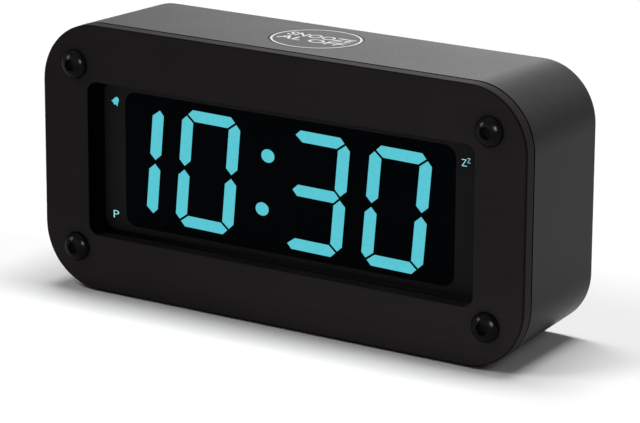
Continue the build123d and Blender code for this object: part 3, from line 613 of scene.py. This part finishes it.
# A raised word: the letters' box is centred and scaled to a width, a height and a thickness, then laid
# along three axes about a middle
def setWord(name, text, spec, axes, middle, material, body):
    mesh = letterMesh(name, text, spec["weight"])
    flat = np.empty(len(mesh.vertices) * 3)
    mesh.vertices.foreach_get("co", flat)
    flat = flat.reshape(-1, 3)
    low, high = flat.min(axis=0), flat.max(axis=0)
    flat = (flat - (low + high) / 2) / (high - low)
    size = np.array([spec["width"], spec["height"], spec["thickness"]]) * mm
    placed = (flat * size) @ np.array(axes, dtype=float) + np.array(middle)
    mesh.vertices.foreach_set("co", placed.ravel())
    mesh.update()
    finishPiece(name, mesh, material, body)


layFlat = ((1, 0, 0), (0, 1, -topFall), (0, topFall, 1))  # read from the front, on the sloping top
onFront = ((1, 0, 0), (0, 0, 1), (0, -1, 0))  # on a face that looks to the front
onBack = ((-1, 0, 0), (0, 0, 1), (0, 1, 0))  # on a face that looks to the back

# Each line's name, word, width, and place behind the key's middle
snoozeWords = {
    "lines": (("wordSnooze", "SNOOZE", 19.3, 2.4), ("wordAlarmOff", "AL OFF", 19.3, -2.35)),
    "height": 3.7,
    "thickness": 0.06,
    "weight": 0.012,
}


def makeSnoozeWords(spec):
    centre = middleOf("snooze_key")
    for name, text, width, behind in spec["lines"]:
        y = centre.y + behind * mm
        look = {**spec, "width": width}
        place = (centre.x, y, topZ(y))
        setWord(name, text, look, layFlat, place, made["printWhite"], "snooze_button")


makeSnoozeRing(snoozeRing)
makeSnoozeWords(snoozeWords)
print("snooze mark printed")

# Small lit signs on the display's border: x, and rise above the middle of the face
signs = {
    "signP": {"text": "P", "x": -53.3, "rise": -15.65, "width": 1.75, "height": 2.0},
    "signBigZ": {"text": "Z", "x": 52.35, "rise": 14.22, "width": 1.45, "height": 1.75},
    "signSmallZ": {"text": "Z", "x": 53.66, "rise": 14.9, "width": 0.85, "height": 1.2},
}
signLetter = {"thickness": 0.08, "weight": -0.012}
bell = {
    "x": -52.95,
    "rise": 15.1,
    "length": 2.0,
    "rim": 1.25,
    "crown": 0.82,
    "clapper": 0.3,
    "turn": -33.0,
    "thickness": 0.08,
    "rows": 24,
    "columns": 25,
}


def makeSigns(specs, letter):
    for name, spec in specs.items():
        place = (spec["x"] * mm, maskY, midZ + spec["rise"] * mm)
        look = {**spec, **letter}
        setWord(name, spec["text"], look, onFront, place, made["litPale"], "case")


# A bell in outline: at a share of its height, the half width is the crown times the root of one less the
# share's fourth power, plus a flare that grows to the rim with the fifth power of the share that is left.
# The columns spread evenly across it, and the clapper bulges from the rim's middle third. Solidify gives
# the sign its thickness
def makeBell(spec):
    along = np.linspace(0, 1, spec["rows"])[:, None]
    across = np.linspace(-1, 1, spec["columns"])[None, :]
    dome = spec["crown"] * np.sqrt(np.clip(1 - along**4, 0, 1))
    flare = (spec["rim"] - spec["crown"]) * (1 - along) ** 5
    bump = spec["clapper"] * np.clip(1 - (3 * across) ** 2, 0, 1) * (1 - along) ** 4
    x = across * (dome + flare)
    z = (along - 0.5) * spec["length"] - bump
    turn = math.radians(spec["turn"])
    turnedX = x * math.cos(turn) - z * math.sin(turn) + spec["x"]
    turnedZ = x * math.sin(turn) + z * math.cos(turn) + spec["rise"]
    points = np.stack([turnedX * mm, np.full_like(x, maskY), midZ + turnedZ * mm], axis=-1)
    faces = gridFaces(spec["rows"], spec["columns"])[:, ::-1]  # turned round, to look to the front
    mesh = gridMesh("signBell", points, faces)
    piece = finishPiece("signBell", mesh, made["litCyan"], "case")
    solid = piece.modifiers.new("thickness", "SOLIDIFY")
    solid.thickness = spec["thickness"] * mm
    solid.offset = 0.0


makeSigns(signs, signLetter)
makeBell(bell)
print("display signs made")

# Words by the keys on the back: by which node, the word, its width, and its place beside and above the node
backWords = {
    "words": (
        ("time_key", "TIME", 8.0, 0.0, 7.6),
        ("alarm_key", "ALARM", 9.6, 0.0, 7.6),
        ("hour_key", "HOUR", 8.4, 0.0, 7.6),
        ("minute_key", "MIN", 6.0, 0.0, 7.6),
        ("alarm_slide", "OFF", 5.0, -3.2, 6.0),
        ("alarm_slide", "ON", 3.8, 6.8, 6.0),
    ),
    "height": 2.0,
    "thickness": 0.06,
    "weight": 0.01,
}


def makeBackWords(spec):
    for node, text, width, beside, above in spec["words"]:
        centre = middleOf(node)
        place = (centre.x + beside * mm, coverY, centre.z + above * mm)
        look = {**spec, "width": width}
        setWord("word_" + text, text, look, onBack, place, made["printWhite"], "case")


makeBackWords(backWords)
print("key words printed")

# Floor and light
floor = {
    "radius": 4000.0,
    "hub": 1.0,
    "rings": 24,
    "spokes": 96,
    "drop": 0.02,
    "sockets": {"Base Color": (0.93, 0.93, 0.93, 1.0), "Roughness": 1.0, "Specular IOR Level": 0.0},
}


# A disc: rings of growing radius, each a full turn of spokes, round a small hub
def makeFloor(spec):
    radius = np.geomspace(spec["hub"], spec["radius"], spec["rings"])[:, None] * mm
    angle = np.linspace(0, 2 * np.pi, spec["spokes"], endpoint=False)[None, :]
    x, y = radius * np.cos(angle), radius * np.sin(angle)
    points = np.stack([x, y, np.full_like(x, -spec["drop"] * mm)], axis=-1)
    rings = gridFaces(spec["rings"], spec["spokes"], closedColumns=True)
    mesh = gridMesh("floor", points, [*rings.tolist(), list(range(spec["spokes"]))])
    mesh.materials.append(startMaterial("floorWhite", spec["sockets"])[0])
    ground = bpy.data.objects.new("floor", mesh)
    scene.collection.objects.link(ground)


makeFloor(floor)

studio = {
    "backdrop": 2.4,  # white behind the clock, as its finish mirrors it
    "around": 0.5,  # the darker room to the sides
    "leftEdge": (-0.68, -0.42),  # where the backdrop begins and ends, across
    "rightEdge": (0.1, 0.5),
    "topEdge": (0.3, 0.62),  # and upwards
    "overhead": 0.45,  # share that is left overhead
    "fill": 0.07,  # soft light from all around
}


# White to the camera, the studio in what the clock mirrors, and an even fill for the rest
def makeWorld(spec):
    world = bpy.data.worlds.new("studio")
    scene.world = world
    world.use_nodes = True
    tree = world.node_tree
    way = splitPlace(tree, addNode(tree, "ShaderNodeTexCoord").outputs["Generated"])

    def softEdge(value, edge, results):
        return mapRange(tree, value, edge, results, interpolation_type="SMOOTHSTEP")

    fromLeft = softEdge(way["X"], spec["leftEdge"], (0.0, 1.0))
    fromRight = softEdge(way["X"], spec["rightEdge"], (1.0, 0.0))
    upwards = softEdge(way["Z"], spec["topEdge"], (1.0, spec["overhead"]))
    across = mixValues(tree, calc(tree, "MULTIPLY", fromLeft, fromRight), spec["around"], spec["backdrop"])
    rays = addNode(tree, "ShaderNodeLightPath").outputs
    light = mixValues(tree, rays["Is Glossy Ray"], spec["fill"], calc(tree, "MULTIPLY", across, upwards))
    clear = calc(tree, "MAXIMUM", rays["Is Camera Ray"], rays["Is Transmission Ray"])
    background = tree.nodes["Background"]
    background.inputs["Color"].default_value = (1, 1, 1, 1)
    tree.links.new(mixValues(tree, clear, light, 1.0), background.inputs["Strength"])


makeWorld(studio)

# Three soft boxes that only light, and two small ones that only glint on the screws
lamps = {
    "topStrip": {"place": (0, 330, 2980), "aim": (0, 0, 0), "size": (2100, 640), "power": 77.0},
    "rightStrip": {"place": (2298, 328, 1928), "aim": (0, 0, 0), "size": (330, 1170), "power": 8.0},
    "leftBox": {"place": (-1380, -1380, 2280), "aim": (0, 0, 0), "size": (1100, 1100), "power": 23.0},
    "sparkBox": {
        "place": (560, -950, 390),
        "aim": (0, 0, 40),
        "size": (330, 330),
        "power": 30.0,
        "glintsOn": "bezel_screws",
    },
    "glintBox": {
        "place": (-875, -684, 406),
        "aim": (0, 0, 40),
        "size": (260, 260),
        "power": 8.0,
        "glintsOn": "bezel_screws",
    },
}


def makeLamp(name, spec):
    data = bpy.data.lights.new(name, "AREA")
    data.energy = spec["power"]
    data.shape = "RECTANGLE"
    data.size, data.size_y = (side * mm for side in spec["size"])
    lamp = bpy.data.objects.new(name, data)
    scene.collection.objects.link(lamp)
    lamp.visible_glossy = "glintsOn" in spec
    lamp.visible_diffuse = not lamp.visible_glossy
    if lamp.visible_glossy:
        glinting = bpy.data.collections.new(name + "Glints")
        glinting.objects.link(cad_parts[spec["glintsOn"]])
        lamp.light_linking.receiver_collection = glinting
    back = np.subtract(spec["place"], spec["aim"])
    setDown(lamp, spec["place"], back, np.cross((0, 0, 1), back))


for name, spec in lamps.items():
    makeLamp(name, spec)
print("floor and light set")
